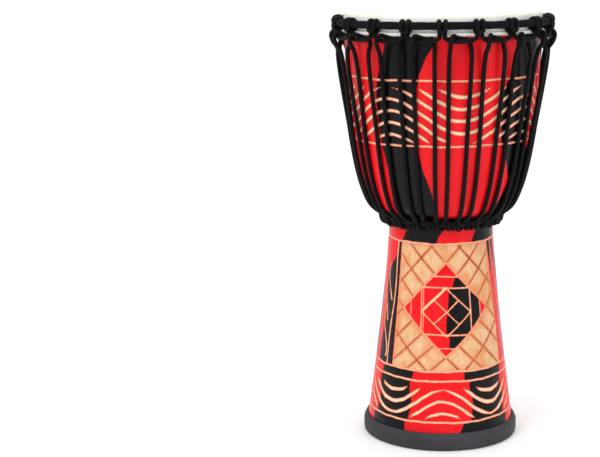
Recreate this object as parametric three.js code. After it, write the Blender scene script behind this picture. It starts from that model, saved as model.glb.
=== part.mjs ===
// A rope-tuned goblet drum (djembe), in millimetres, +Z up, origin under the centre of the foot.
// Azimuth 0 is the front of the drum (-Y); azimuth grows towards +X.
import * as THREE from 'three';
import { mergeVertices } from 'three/addons/utils/BufferGeometryUtils.js';

// Shell
const RIM_RADIUS = 134.5;        // outside of the shell at the bearing edge
const RIM_HEIGHT = 597;          // top of the bearing edge
const NECK_RADIUS = 72.4;        // outside of the shell at its narrowest
const FOOT_RADIUS = 105.2;       // outside of the shell at the foot
const WAIST_HEIGHT = 322;        // where the underside of the bowl starts
const FOOT_WALL = 14;
const NECK_WALL = 15;
const BOWL_WALL = 10;
const RIM_WALL = 9.5;            // the bearing edge is a little thinner than the bowl
const EDGE_ROUNDING = 4;         // rounding of the bearing edge
const FLARE_POWER = 1.28;        // 1 makes the stem a straight cone
const RING_SEAT = 1.8;           // how far the neck is cut in behind the lower ring
const BORE_LENGTH = 72;          // straight bore below the waist, before it opens to the foot
const BELL_BEND = 0.4;           // where the bore's flare bends, as a share of the stem
const BELL_SLACK = 3;            // how much tighter than a cone the bore is at that bend

// Rubber ring under the foot
const FOOT_RING_HEIGHT = 24.3;
const FOOT_RING_WALL = 3.6;
const FOOT_RING_FLOOR = 4;       // rubber under the shell
const FOOT_RING_LIP = 15;        // how far that rubber reaches in
const FOOT_RING_ROUNDING = 4.5;

// Rope, rings and skin
const ROPE_DIAMETER = 5;
const HITCH_COUNT = 19;          // hitches on each ring, and loops between them
const SKIN_THICKNESS = 1;
const FLESH_ROD = 4;             // diameter of the hoop rolled into the skin
const CROWN_ROD = 5;             // diameter of the steel in the crown ring
const CROWN_WRAP = 1.1;          // thickness of the cloth round it
const LOWER_ROD = 6;             // diameter of the lower ring
const CROWN_HEIGHT = 584.5;      // centre of the crown ring
const SKIN_DROP = 24.7;          // from the bearing edge down to the flesh hoop's centre
const WAIST_ROOM = 2.2;          // between the bowl's underside and the ropes over the lower ring
const GARLAND_DROP = 21;         // from the crown ring down to the loops between hitches
const RUN_OFFSET = 8.2;          // from a hitch to the run beside it, along the rim
const RUN_DROP = 18;             // from the upper loops down to the top of the straight runs
const RUN_LIFT = 0.6;            // rope above the bowl, beyond its own radius
const KNOT_LENGTH = 16;          // along the lower ring
const KNOT_THICKNESS = 10;
const KNOT_TUCK = 0.55;          // how far the knot is drawn up between the rope's two ends
const CLEARANCE = 0.3;           // air between neighbours

const SEGMENTS = 2 * HITCH_COUNT;
const ROPE_SIDES = 5;
const ROPE_RADIUS = ROPE_DIAMETER / 2;
const PITCH = 2 * Math.PI / HITCH_COUNT;
const ROPE_OVER = ROPE_DIAMETER + CLEARANCE;      // centre to centre where ropes cross
const HUG = ROPE_RADIUS + RUN_LIFT;               // rope centre above the shell it lies on

// Places that several pieces share
const FOOT_BASE = FOOT_RING_FLOOR + CLEARANCE;
const SKIN_INSIDE = RIM_RADIUS + CLEARANCE;
const SKIN_OUTSIDE = SKIN_INSIDE + SKIN_THICKNESS;
const FLESH_RADIUS = SKIN_OUTSIDE + CLEARANCE + FLESH_ROD / 2;
const FLESH_HEIGHT = RIM_HEIGHT - SKIN_DROP;
const CROWN_SECTION = CROWN_ROD / 2 + CLEARANCE + CROWN_WRAP;
const CROWN_TURN = CROWN_SECTION + CLEARANCE + ROPE_RADIUS;
const CROWN_RADIUS = SKIN_OUTSIDE + CLEARANCE + ROPE_RADIUS + CROWN_TURN;
const GARLAND_HEIGHT = CROWN_HEIGHT - GARLAND_DROP;
const LOWER_TURN = LOWER_ROD / 2 + CLEARANCE + ROPE_RADIUS;
const LOWER_RADIUS = NECK_RADIUS - RING_SEAT + CLEARANCE + ROPE_RADIUS + LOWER_TURN;
const LOWER_HEIGHT = WAIST_HEIGHT - WAIST_ROOM - ROPE_RADIUS - LOWER_TURN;
const UPPER_LOOP = CROWN_RADIUS + 0.36 * ROPE_DIAMETER;        // radius of the loops between hitches
const LOWER_LOOP = LOWER_RADIUS + LOWER_TURN + 0.1 * ROPE_DIAMETER;
const KNOT_INDEX = Math.ceil(HITCH_COUNT / 2);                 // the hitch nearest the back
const KNOT_RADIUS = LOWER_RADIUS + 0.2 * ROPE_DIAMETER;
const KNOT_HEIGHT = LOWER_HEIGHT - LOWER_TURN - KNOT_THICKNESS / 2 + KNOT_TUCK;
const STEM_TOP = LOWER_HEIGHT - LOWER_TURN;

const paint = (color, roughness, metalness = 0) =>
  new THREE.MeshStandardMaterial({ color, roughness, metalness });
const RED_LACQUER = paint(0xd4141c, 0.3);
const GOAT_SKIN = paint(0xf1ece0, 0.65);
const BLACK_ROPE = paint(0x121214, 0.85);
const BLACK_CLOTH = paint(0x17171a, 0.9);
const BLACK_STEEL = paint(0x1b1b1d, 0.45, 0.6);
const BARE_STEEL = paint(0x9a9da0, 0.4, 0.9);
const BLACK_RUBBER = paint(0x222426, 0.8);

const UPRIGHT = new THREE.Vector3(0, 0, 1);

const xy = (x, y) => new THREE.Vector2(x, y);

// --- solids of revolution -------------------------------------------------

// Turns a closed [radius, height] outline, listed anticlockwise, about the vertical axis.
function turned(outline) {
  const closed = outline[0].x === 0 ? outline : [...outline, outline[0].clone()];
  const lathe = new THREE.LatheGeometry(closed, SEGMENTS).rotateX(Math.PI / 2);
  lathe.deleteAttribute('normal');
  lathe.deleteAttribute('uv');
  return withNormals(mergeVertices(dropSlivers(lathe), 1e-3));
}

// Leaves out the triangles that a lathe folds to nothing on its axis.
function dropSlivers(geometry) {
  const position = geometry.getAttribute('position');
  const index = geometry.getIndex().array;
  const corner = (i) => new THREE.Vector3().fromBufferAttribute(position, i);
  const kept = [];
  for (let i = 0; i < index.length; i += 3) {
    const triangle = new THREE.Triangle(corner(index[i]), corner(index[i + 1]), corner(index[i + 2]));
    if (triangle.getArea() > 1e-9) kept.push(index[i], index[i + 1], index[i + 2]);
  }
  geometry.setIndex(kept);
  return geometry;
}

function withNormals(geometry) {
  geometry.computeVertexNormals();
  return geometry;
}

// A ring of round rod.
function rodRing(radius, height, rod) {
  const sides = 6;
  const outline = [];
  for (let i = 0; i < sides; i += 1) {
    const turn = 2 * Math.PI * i / sides;
    outline.push(xy(radius + rod / 2 * Math.cos(turn), height + rod / 2 * Math.sin(turn)));
  }
  return turned(outline);
}

// --- the shell's outside, which everything else follows --------------------

// The bowl from its underside to the rim: shares of the way from neck to rim, outwards and up.
const BOWL_SHAPE = [
  [0.212, 0.0], [0.290, 0.012], [0.368, 0.026], [0.425, 0.042], [0.511, 0.081], [0.638, 0.162],
  [0.762, 0.284], [0.857, 0.415], [0.930, 0.549], [0.980, 0.702], [0.996, 0.847], [1.0, 0.965],
];

function stemRadius(height) {
  const share = Math.max(0, (STEM_TOP - height) / (STEM_TOP - FOOT_BASE));
  return NECK_RADIUS + (FOOT_RADIUS - NECK_RADIUS) * share ** FLARE_POWER;
}

function bowlPoint([out, up]) {
  return xy(NECK_RADIUS + out * (RIM_RADIUS - NECK_RADIUS),
    WAIST_HEIGHT + up * (RIM_HEIGHT - WAIST_HEIGHT));
}

function stemPoints(count) {
  return Array.from({ length: count }, (_, i) => {
    const height = FOOT_BASE + (STEM_TOP - FOOT_BASE) * i / (count - 1);
    return xy(stemRadius(height), height);
  });
}

// The seat behind the lower ring, and the corner between neck and bowl above it.
function waistPoints() {
  const seat = NECK_RADIUS - RING_SEAT;
  return [
    xy(seat, STEM_TOP + RING_SEAT),
    xy(seat, LOWER_HEIGHT + ROPE_RADIUS),
    xy(NECK_RADIUS + 1.8, WAIST_HEIGHT - 3),
    xy(NECK_RADIUS + 6.5, WAIST_HEIGHT - 0.8),
  ];
}

const BOWL = BOWL_SHAPE.map(bowlPoint);
const BOWL_CURVE = new THREE.SplineCurve(BOWL);

// A point off the bowl's outside: share runs along the spline, off is the distance from the wood.
function offBowl(share, off) {
  const point = BOWL_CURVE.getPoint(share);
  const along = BOWL_CURVE.getTangent(share);
  return xy(point.x + off * along.y, point.y - off * along.x);
}

// The share of the bowl's spline at a height.
function bowlShare(height) {
  let low = 0;
  let high = 1;
  for (let i = 0; i < 40; i += 1) {
    const middle = (low + high) / 2;
    if (BOWL_CURVE.getPoint(middle).y < height) low = middle;
    else high = middle;
  }
  return (low + high) / 2;
}

function shell() {
  const rim = BOWL[BOWL.length - 1];
  const edge = [
    xy(RIM_RADIUS - 0.3 * EDGE_ROUNDING, RIM_HEIGHT - 0.3 * EDGE_ROUNDING),
    xy(RIM_RADIUS - EDGE_ROUNDING, RIM_HEIGHT),
    xy(RIM_RADIUS - RIM_WALL, RIM_HEIGHT - EDGE_ROUNDING),
  ];
  const inside = [0.847, 0.549, 0.284, 0.162, 0.081].map((up) => {
    const share = bowlShare(WAIST_HEIGHT + up * (RIM_HEIGHT - WAIST_HEIGHT));
    return offBowl(share, -BOWL_WALL);
  });
  const bore = NECK_RADIUS - NECK_WALL;
  const mouth = FOOT_RADIUS - FOOT_WALL;
  const stem = [
    xy(bore, WAIST_HEIGHT),
    xy(bore, WAIST_HEIGHT - BORE_LENGTH),
    xy((bore + mouth) / 2 - BELL_SLACK, BELL_BEND * STEM_TOP),
    xy(mouth, FOOT_BASE),
  ];
  const outside = [...stemPoints(7), ...waistPoints(), ...BOWL.slice(1, -1), rim];
  return turned([...outside, ...edge, ...inside, ...stem]);
}

// --- foot -----------------------------------------------------------------

function rubberFootRing() {
  const inner = (height) => stemRadius(height) + CLEARANCE;
  const outer = FOOT_RADIUS + FOOT_RING_WALL;
  const top = FOOT_RING_HEIGHT;
  return turned([
    xy(FOOT_RADIUS - FOOT_RING_LIP, 0),
    xy(outer - FOOT_RING_ROUNDING, 0),
    xy(outer - 0.3 * FOOT_RING_ROUNDING, 0.35 * FOOT_RING_ROUNDING),
    xy(outer, 1.6 * FOOT_RING_ROUNDING),
    xy(outer, 0.7 * top),
    xy(stemRadius(top) + FOOT_RING_WALL, top),
    xy(inner(top), top),
    xy(FOOT_RADIUS + CLEARANCE, FOOT_RING_FLOOR),
    xy(FOOT_RADIUS - FOOT_RING_LIP, FOOT_RING_FLOOR),
  ]);
}

// --- head: skin, flesh hoop and crown ring ----------------------------------

// The skin lies over the bearing edge, goes down outside the rim, and rolls round the flesh hoop.
function drumHead() {
  const under = RIM_HEIGHT + CLEARANCE;
  const top = under + SKIN_THICKNESS;
  const roll = FLESH_ROD / 2 + CLEARANCE;
  const around = (reach, degrees) => {
    const turn = THREE.MathUtils.degToRad(degrees);
    return xy(FLESH_RADIUS + reach * Math.cos(turn), FLESH_HEIGHT + reach * Math.sin(turn));
  };
  const outer = roll + SKIN_THICKNESS;
  return turned([
    xy(0, under),
    xy(RIM_RADIUS - EDGE_ROUNDING, under),
    xy(SKIN_INSIDE - 0.1 * EDGE_ROUNDING, RIM_HEIGHT - 0.3 * EDGE_ROUNDING),
    xy(SKIN_INSIDE, RIM_HEIGHT - 2 * EDGE_ROUNDING),
    xy(SKIN_INSIDE, FLESH_HEIGHT),
    around(outer, 225), around(outer, 270), around(outer, 315), around(outer, 0), around(outer, 35),
    around(roll, 35), around(roll, 0), around(roll, 315), around(roll, 270), around(roll, 225),
    xy(SKIN_OUTSIDE, FLESH_HEIGHT),
    xy(SKIN_OUTSIDE, RIM_HEIGHT - 1.6 * EDGE_ROUNDING),
    xy(SKIN_OUTSIDE - 0.1 * EDGE_ROUNDING, top - 0.6 * EDGE_ROUNDING),
    xy(RIM_RADIUS - EDGE_ROUNDING, top),
    xy(0, top),
  ]);
}

// The cloth wrap is open along the inside of the ring, where its edges meet.
function crownRingWrap() {
  const inner = CROWN_ROD / 2 + CLEARANCE;
  const outer = inner + CROWN_WRAP;
  const corners = [-170, -115, -60, 0, 60, 115, 170];
  const place = (reach) => (degrees) => {
    const turn = THREE.MathUtils.degToRad(degrees);
    return xy(CROWN_RADIUS + reach * Math.cos(turn), CROWN_HEIGHT + reach * Math.sin(turn));
  };
  return turned([...corners.map(place(outer)), ...corners.reverse().map(place(inner))]);
}

// --- rope -----------------------------------------------------------------

// A point by azimuth, with a shift along the rim in millimetres.
function polar(azimuth, shift, radius, height) {
  const angle = azimuth + shift / radius;
  return new THREE.Vector3(radius * Math.sin(angle), -radius * Math.cos(angle), height);
}

// A rope through a list of points: closed into a ring, or with flat ends.
function rope(points, closed) {
  const count = points.length;
  const tangents = points.map((point, i) => {
    const before = closed ? points[(i + count - 1) % count] : points[Math.max(i - 1, 0)];
    const after = closed ? points[(i + 1) % count] : points[Math.min(i + 1, count - 1)];
    return after.clone().sub(before).normalize();
  });
  const frames = [UPRIGHT.clone().cross(tangents[0]).normalize()];
  for (let i = 1; i < count; i += 1) frames.push(carried(frames[i - 1], tangents[i - 1], tangents[i]));
  const twist = closed ? closingTwist(frames, tangents) : 0;
  const vertices = [];
  points.forEach((point, i) => {
    const across = frames[i].clone().applyAxisAngle(tangents[i], twist * i / count);
    const up = tangents[i].clone().cross(across);
    for (let j = 0; j < ROPE_SIDES; j += 1) {
      const turn = 2 * Math.PI * j / ROPE_SIDES;
      const corner = point.clone()
        .addScaledVector(across, ROPE_RADIUS * Math.cos(turn))
        .addScaledVector(up, ROPE_RADIUS * Math.sin(turn));
      vertices.push(corner.x, corner.y, corner.z);
    }
  });
  const geometry = new THREE.BufferGeometry();
  geometry.setAttribute('position', new THREE.Float32BufferAttribute(vertices, 3));
  geometry.setIndex(ropeFaces(count, closed));
  return withNormals(geometry);
}

// Carries a cross-section's direction along the rope without twisting it.
function carried(frame, from, to) {
  return frame.clone().applyQuaternion(new THREE.Quaternion().setFromUnitVectors(from, to));
}

// The turn that brings the last cross-section back onto the first.
function closingTwist(frames, tangents) {
  const last = frames.length - 1;
  const back = carried(frames[last], tangents[last], tangents[0]);
  const up = tangents[0].clone().cross(back);
  return Math.atan2(frames[0].dot(up), frames[0].dot(back));
}

function ropeFaces(count, closed) {
  const faces = [];
  const rings = closed ? count : count - 1;
  for (let i = 0; i < rings; i += 1) {
    const here = i * ROPE_SIDES;
    const next = ((i + 1) % count) * ROPE_SIDES;
    for (let j = 0; j < ROPE_SIDES; j += 1) {
      const k = (j + 1) % ROPE_SIDES;
      faces.push(here + j, here + k, next + k, here + j, next + k, next + j);
    }
  }
  if (closed) return faces;
  const end = (count - 1) * ROPE_SIDES;
  for (let j = 1; j < ROPE_SIDES - 1; j += 1) {
    faces.push(0, j + 1, j, end, end + j, end + j + 1);
  }
  return faces;
}

// One turn of rope about a ring, from its front to its back. Angles are in degrees: 0 is outwards.
function turnAbout(ringRadius, ringHeight, turn, spread, angles) {
  const reach = turn / Math.cos(Math.PI / 8);
  return angles.map((degrees) => {
    const angle = THREE.MathUtils.degToRad(degrees);
    return [spread, ringRadius + reach * Math.cos(angle), ringHeight + reach * Math.sin(angle)];
  });
}

// A cow hitch as [share of the pitch, radius, height], from its middle to the middle of the next
// loop. What the rope's own thickness decides is given in rope diameters.
function upperHalfHitch() {
  const d = ROPE_DIAMETER;
  const under = CROWN_HEIGHT - CROWN_TURN;
  const share = (diameters) => diameters * d / (PITCH * UPPER_LOOP);
  return [
    [0, CROWN_RADIUS + CROWN_TURN - 0.13 * d, under - 0.48 * d],
    [share(0.64), CROWN_RADIUS + CROWN_TURN, under],
    ...turnAbout(CROWN_RADIUS, CROWN_HEIGHT, CROWN_TURN, share(0.87), [-22.5, 22.5, 67.5, 112.5, 157.5, 202.5]),
    [share(0.76), CROWN_RADIUS - 0.8 * d, under - 0.06 * d],
    [share(0.67), CROWN_RADIUS + 0.06 * d, under - 0.77 * d],
    [share(0.71), UPPER_LOOP - 0.04 * d, under - 1.74 * d],
    [share(1.47), UPPER_LOOP, GARLAND_HEIGHT + 0.36 * d],
    [0.5, UPPER_LOOP, GARLAND_HEIGHT],
  ];
}

// The same hitch upside down on the lower ring, where the loops lie close against it. A hitch's two
// turns and the two lacing strands between hitches share the pitch evenly.
function lowerHalfHitch() {
  const d = ROPE_DIAMETER;
  const over = LOWER_HEIGHT + LOWER_TURN;
  return [
    [0, LOWER_RADIUS + LOWER_TURN + 0.2 * d, LOWER_HEIGHT + 0.64 * d],
    ...turnAbout(LOWER_RADIUS, LOWER_HEIGHT, LOWER_TURN, 0.125, [22.5, -22.5, -67.5, -112.5, -157.5, -202.5]),
    [0.12, LOWER_RADIUS - 0.16 * d, over + 0.17 * d],
    [0.15, LOWER_RADIUS + 0.98 * d, over + 0.21 * d],
    [0.28, LOWER_LOOP, LOWER_HEIGHT + 0.56 * d],
    [0.5, LOWER_LOOP, LOWER_HEIGHT + 0.5 * d],
  ];
}

// Hitches all round a ring, from half of one.
function cradle(half, firstAzimuth) {
  const mirrored = half.slice(1, -1).reverse().map(([share, radius, height]) => [-share, radius, height]);
  const points = [];
  for (let i = 0; i < HITCH_COUNT; i += 1) {
    for (const [share, radius, height] of [...mirrored, ...half]) {
      points.push(polar(firstAzimuth + (i + share) * PITCH, 0, radius, height));
    }
  }
  return rope(points, true);
}

// The bowl's outline, moved out so that a rope laid along it keeps clear of each straight piece.
function hugging() {
  return BOWL.slice(1, -1).map((point, i) => {
    const before = point.clone().sub(BOWL[i]).normalize();
    const after = BOWL[i + 2].clone().sub(point).normalize();
    const along = before.clone().add(after).normalize();
    const off = HUG / along.dot(before);
    return xy(point.x + off * along.y, point.y - off * along.x);
  });
}

// A run of the lacing between the two cradles, from its top down: [radius, height] pairs. It is
// straight from its top to where it meets the bowl, and lies on the bowl below that.
function run() {
  const top = xy(CROWN_RADIUS - RUN_LIFT, GARLAND_HEIGHT - RUN_DROP);
  const lean = (point) => (point.x - top.x) / (top.y - point.y);
  const below = hugging().filter((point) => point.y < top.y);
  const leave = below.reduce((best, point) => (lean(point) > lean(best) ? point : best));
  return [top, ...below.filter((point) => point.y <= leave.y).reverse()];
}

// The lacing passes each upper loop from front to back, and each lower loop and ring the same way.
function lacingPeriod(index) {
  const d = ROPE_DIAMETER;
  const azimuth = index * PITCH;
  const next = azimuth + PITCH;
  const topSpread = RUN_OFFSET / UPPER_LOOP;
  const bottomSpread = 0.185 * PITCH;
  const spread = (point) => {
    const share = (point.y - WAIST_HEIGHT) / (GARLAND_HEIGHT - WAIST_HEIGHT);
    return topSpread * share + bottomSpread * (1 - share);
  };
  const down = run();
  const rising = [...down].reverse().map((p) => polar(azimuth + spread(p), 0, p.x, p.y));
  const falling = down.map((p) => polar(next - spread(p), 0, p.x, p.y));
  const over = [
    polar(azimuth, RUN_OFFSET + 0.31 * d, UPPER_LOOP + ROPE_OVER - 0.36 * d, GARLAND_HEIGHT - 1.22 * d),
    polar(azimuth, RUN_OFFSET + 0.42 * d, UPPER_LOOP + ROPE_OVER + CLEARANCE, GARLAND_HEIGHT + 0.4 * d),
    polar(azimuth, RUN_OFFSET + 0.93 * d, UPPER_LOOP + 0.36 * d, GARLAND_HEIGHT + 1.45 * d),
    polar(azimuth, RUN_OFFSET + 1.67 * d, UPPER_LOOP - ROPE_OVER + 0.24 * d, GARLAND_HEIGHT + 1.05 * d),
    polar(next, -RUN_OFFSET - 0.36 * d, UPPER_LOOP - ROPE_OVER - 0.12 * d, GARLAND_HEIGHT - 0.13 * d),
    polar(next, -RUN_OFFSET - 0.09 * d, UPPER_LOOP - ROPE_OVER, GARLAND_HEIGHT - 1.22 * d),
  ];
  const turn = LOWER_TURN;
  const under = [
    [-0.2, LOWER_LOOP + 1.22 * d, LOWER_HEIGHT + 1.24 * d],
    [-0.165, LOWER_LOOP + 0.92 * d, LOWER_HEIGHT - 0.04 * d],
    [-0.13, LOWER_RADIUS + 0.8 * d, LOWER_HEIGHT - turn - 0.1 * d],
    [0.13, LOWER_RADIUS - 0.84 * d, LOWER_HEIGHT - turn + 0.08 * d],
    [0.13, LOWER_RADIUS - turn - 0.02 * d, LOWER_HEIGHT - 0.3 * d],
    [0.13, LOWER_RADIUS - turn + 0.04 * d, LOWER_HEIGHT + 0.48 * d],
    [0.13, LOWER_RADIUS - 0.36 * d, LOWER_HEIGHT + turn + 0.04 * d],
    [0.13, LOWER_RADIUS + 0.89 * d, LOWER_HEIGHT + turn + 0.44 * d],
  ].map(([share, radius, height]) => polar(next + share * PITCH, 0, radius, height));
  return { rising, over, falling, under };
}

// The lacing starts and ends in its knot, under the lower ring at the back.
function lacing() {
  const points = [];
  for (let i = 0; i < HITCH_COUNT; i += 1) {
    const { rising, over, falling, under } = lacingPeriod(KNOT_INDEX + i);
    if (i === 0) points.push(...lacingPeriod(KNOT_INDEX - 1).under.slice(3));
    points.push(...rising, ...over, ...falling);
    points.push(...(i === HITCH_COUNT - 1 ? under.slice(0, 3) : under));
  }
  return rope(points, false);
}

function lacingKnot() {
  const thickness = KNOT_THICKNESS / 2;
  const ball = new THREE.SphereGeometry(1, 10, 6).scale(KNOT_LENGTH / 2, thickness, thickness);
  ball.deleteAttribute('normal');
  ball.deleteAttribute('uv');
  return withNormals(mergeVertices(dropSlivers(ball), 1e-3));
}

// --- the drum ---------------------------------------------------------------

const djembe = new THREE.Group();

function add(name, geometry, material) {
  const mesh = new THREE.Mesh(geometry, material);
  mesh.name = name;
  djembe.add(mesh);
  return mesh;
}

add('shell', shell(), RED_LACQUER);
add('rubber_foot_ring', rubberFootRing(), BLACK_RUBBER);
add('drum_head', drumHead(), GOAT_SKIN);
add('flesh_hoop', rodRing(FLESH_RADIUS, FLESH_HEIGHT, FLESH_ROD), BARE_STEEL);
add('crown_ring', rodRing(CROWN_RADIUS, CROWN_HEIGHT, CROWN_ROD), BARE_STEEL);
add('crown_ring_wrap', crownRingWrap(), BLACK_CLOTH);
add('upper_cradle_rope', cradle(upperHalfHitch(), 0), BLACK_ROPE);
add('lacing_rope', lacing(), BLACK_ROPE);
add('lower_cradle_rope', cradle(lowerHalfHitch(), PITCH / 2), BLACK_ROPE);
const knot = add('lacing_knot', lacingKnot(), BLACK_ROPE);
knot.position.copy(polar(KNOT_INDEX * PITCH, 0, KNOT_RADIUS, KNOT_HEIGHT));
knot.rotation.z = KNOT_INDEX * PITCH;
add('lower_ring', rodRing(LOWER_RADIUS, LOWER_HEIGHT, LOWER_ROD), BLACK_STEEL);

export default djembe;
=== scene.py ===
import math

import bmesh
import bpy
import numpy as np
from mathutils import Matrix


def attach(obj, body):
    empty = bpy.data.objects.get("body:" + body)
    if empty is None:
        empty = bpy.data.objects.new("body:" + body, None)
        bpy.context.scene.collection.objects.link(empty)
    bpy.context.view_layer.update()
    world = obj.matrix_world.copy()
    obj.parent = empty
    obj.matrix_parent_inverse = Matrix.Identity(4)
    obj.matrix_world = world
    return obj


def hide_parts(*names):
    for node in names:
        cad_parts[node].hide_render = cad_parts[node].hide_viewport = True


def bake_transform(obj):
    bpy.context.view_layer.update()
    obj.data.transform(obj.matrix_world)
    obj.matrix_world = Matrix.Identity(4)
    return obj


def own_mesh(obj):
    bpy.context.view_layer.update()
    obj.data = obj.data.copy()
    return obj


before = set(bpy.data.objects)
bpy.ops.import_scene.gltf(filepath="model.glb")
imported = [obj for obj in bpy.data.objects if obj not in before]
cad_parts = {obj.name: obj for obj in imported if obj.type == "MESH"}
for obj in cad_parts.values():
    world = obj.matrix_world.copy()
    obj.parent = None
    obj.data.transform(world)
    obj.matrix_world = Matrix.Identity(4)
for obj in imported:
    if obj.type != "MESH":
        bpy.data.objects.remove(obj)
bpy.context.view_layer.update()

# A rope-tuned goblet drum. Sizes are in millimetres and azimuths in degrees, with 0 at the front (-Y) and
# growing towards +X; meshes are turned into metres as they are made.
MM = 0.001

# Sizes of the CAD model that the looks follow
RIM_RADIUS = 134.5
RIM_HEIGHT = 597.0
NECK_RADIUS = 72.4
FOOT_RADIUS = 105.2
FOOT_BASE = 4.3
WAIST_HEIGHT = 322.0
STEM_TOP = 305.7
RING_SEAT = 1.8
FLARE_POWER = 1.28
FOOT_WALL = 14.0
NECK_WALL = 15.0
BOWL_WALL = 10.0
EDGE_ROUNDING = 4.0
HITCHES = 19
PITCH = 360.0 / HITCHES
CROWN_RADIUS = 145.3
GARLAND_HEIGHT = 563.5    # the loops between the upper hitches
LOWER_RADIUS = 79.2
LOWER_HEIGHT = 311.5
LOWER_ROD = 6.0
SKIN_INSIDE = 134.8
SKIN_THICKNESS = 1.0
FLESH_RADIUS = 138.1
FLESH_HEIGHT = 572.3
FLESH_ROD = 4.0

# Rope and cloth, a little fuller than in the CAD model and giving way where they are pulled tight
ROPE = 6.0                # the diameter of a rope, with its braid
CROWN_HEIGHT = 583.5
CROWN_SECTION = 5.0       # radius of the crown ring with its cloth
CROWN_BITE = 2.1          # how far the rope sinks into that cloth
LOWER_BITE = 0.6          # how far the rope flattens on the lower ring

ROPE_RADIUS = ROPE / 2
ROPE_SIDES = 12
END_TAPER = [0.75, 0.93]  # shares of the radius where a rope ends
CROWN_TURN = CROWN_SECTION + ROPE_RADIUS - CROWN_BITE
LOWER_TURN = LOWER_ROD / 2 + ROPE_RADIUS - LOWER_BITE
UPPER_LOOP = CROWN_RADIUS + 0.36 * ROPE           # radius of the loops between hitches
LOWER_LOOP = LOWER_RADIUS + LOWER_TURN - 0.35 * ROPE

# Bowl from its underside to the rim: shares of the way from neck to rim, outwards and up
BOWL_SHAPE = [
    (0.290, 0.012), (0.368, 0.026), (0.425, 0.042), (0.511, 0.081), (0.638, 0.162), (0.762, 0.284),
    (0.857, 0.415), (0.930, 0.549), (0.980, 0.702), (0.996, 0.847), (1.0, 0.965),
]


# --- camera, floor and light ---

def make_camera():
    """A long lens a little above the rim, turned left so that the drum stands right of the middle."""
    focal_in_widths, distance, height = 2.4393, 2.0382, 0.6854
    yaw, pitch, roll = (math.radians(a) for a in (-5.601, 10.91, -0.666))
    forward = np.array([math.sin(yaw) * math.cos(pitch), math.cos(yaw) * math.cos(pitch), -math.sin(pitch)])
    level = np.array([math.cos(yaw), -math.sin(yaw), 0.0])
    upright = np.cross(level, forward)
    right = math.cos(roll) * level + math.sin(roll) * upright
    up = math.cos(roll) * upright - math.sin(roll) * level
    data = bpy.data.cameras.new("camera")
    data.sensor_width = 36.0
    data.lens = focal_in_widths * data.sensor_width
    camera = bpy.data.objects.new("camera", data)
    camera.matrix_world = Matrix([
        [right[0], up[0], -forward[0], 0.0],
        [right[1], up[1], -forward[1], -distance],
        [right[2], up[2], -forward[2], height],
        [0.0, 0.0, 0.0, 1.0],
    ])
    bpy.context.scene.collection.objects.link(camera)
    bpy.context.scene.camera = camera


def make_floor():
    half = 40.0 / MM
    corners = [[-half, -half, 0], [half, -half, 0], [half, half, 0], [-half, half, 0]]
    floor = piece_from("floor", corners, [[0, 1, 2, 3]])
    g = Graph("pale_floor")
    g.colour(g.mix(g.noise(6.0, 3.0), (0.95, 0.95, 0.95, 1.0), (0.965, 0.965, 0.965, 1.0)))
    g.fix("Roughness", 0.9)
    g.fix("Specular IOR Level", 0.1)
    floor.data.materials.append(g.material)


def make_area_light(name, place, target, size, power):
    data = bpy.data.lights.new(name, "AREA")
    data.shape = "DISK"
    data.size = size
    data.energy = power
    light = bpy.data.objects.new(name, data)
    towards = np.array(target, float) - np.array(place, float)
    light.matrix_world = Matrix.Translation(place) @ aimed(towards)
    bpy.context.scene.collection.objects.link(light)


def aimed(direction):
    """The rotation that points a light's -Z along a direction."""
    back = -direction / np.linalg.norm(direction)
    side = np.cross([0.0, 0.0, 1.0], back)
    side /= np.linalg.norm(side)
    up = np.cross(back, side)
    return Matrix([[side[i], up[i], back[i], 0.0] for i in range(3)] + [[0.0, 0.0, 0.0, 1.0]])


def make_lights():
    middle = (0.0, 0.0, 0.33)
    make_area_light("key", (-1.3, -1.9, 1.7), middle, 1.1, 20.0)
    make_area_light("fill", (1.9, -1.5, 1.0), middle, 1.6, 8.0)
    make_area_light("back", (0.4, 2.0, 1.6), middle, 1.6, 8.0)
    overhead = bpy.data.lights.new("overhead", "SUN")
    overhead.angle = math.radians(90.0)
    overhead.energy = 1.65
    bpy.context.scene.collection.objects.link(bpy.data.objects.new("overhead", overhead))
    world = bpy.data.worlds.new("studio")
    world.use_nodes = True
    background = world.node_tree.nodes["Background"].inputs
    background["Color"].default_value = (1.0, 1.0, 1.0, 1.0)
    background["Strength"].default_value = 0.56
    bpy.context.scene.world = world
    bpy.context.scene.view_settings.view_transform = "Standard"


# --- meshes ---

def piece_from(name, points, faces):
    """A mesh object from points in millimetres and faces with equal numbers of corners."""
    mesh = bpy.data.meshes.new(name)
    points = np.reshape(points, (-1, 3)).astype(np.float64)
    faces = np.asarray(faces, np.int32)
    mesh.vertices.add(len(points))
    mesh.vertices.foreach_set("co", (points * MM).astype(np.float32).ravel())
    mesh.loops.add(faces.size)
    mesh.loops.foreach_set("vertex_index", faces.ravel())
    mesh.polygons.add(len(faces))
    mesh.polygons.foreach_set("loop_start", np.arange(len(faces), dtype=np.int32) * faces.shape[1])
    mesh.update(calc_edges=True)
    mesh.shade_smooth()
    piece = bpy.data.objects.new(name, mesh)
    bpy.context.scene.collection.objects.link(piece)
    return piece


def grid_corners(rows, columns, close_rows):
    """The row and column of each quad's first corner. The columns always close on themselves."""
    i = np.arange(rows if close_rows else rows - 1)
    return (a.ravel() for a in np.meshgrid(i, np.arange(columns), indexing="ij"))


def grid_faces(rows, columns, close_rows=True):
    """Quads of a grid of points, row by row."""
    i, j = grid_corners(rows, columns, close_rows)
    i2, j2 = (i + 1) % rows, (j + 1) % columns
    return np.stack([i * columns + j, i * columns + j2, i2 * columns + j2, i2 * columns + j], 1)


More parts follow.
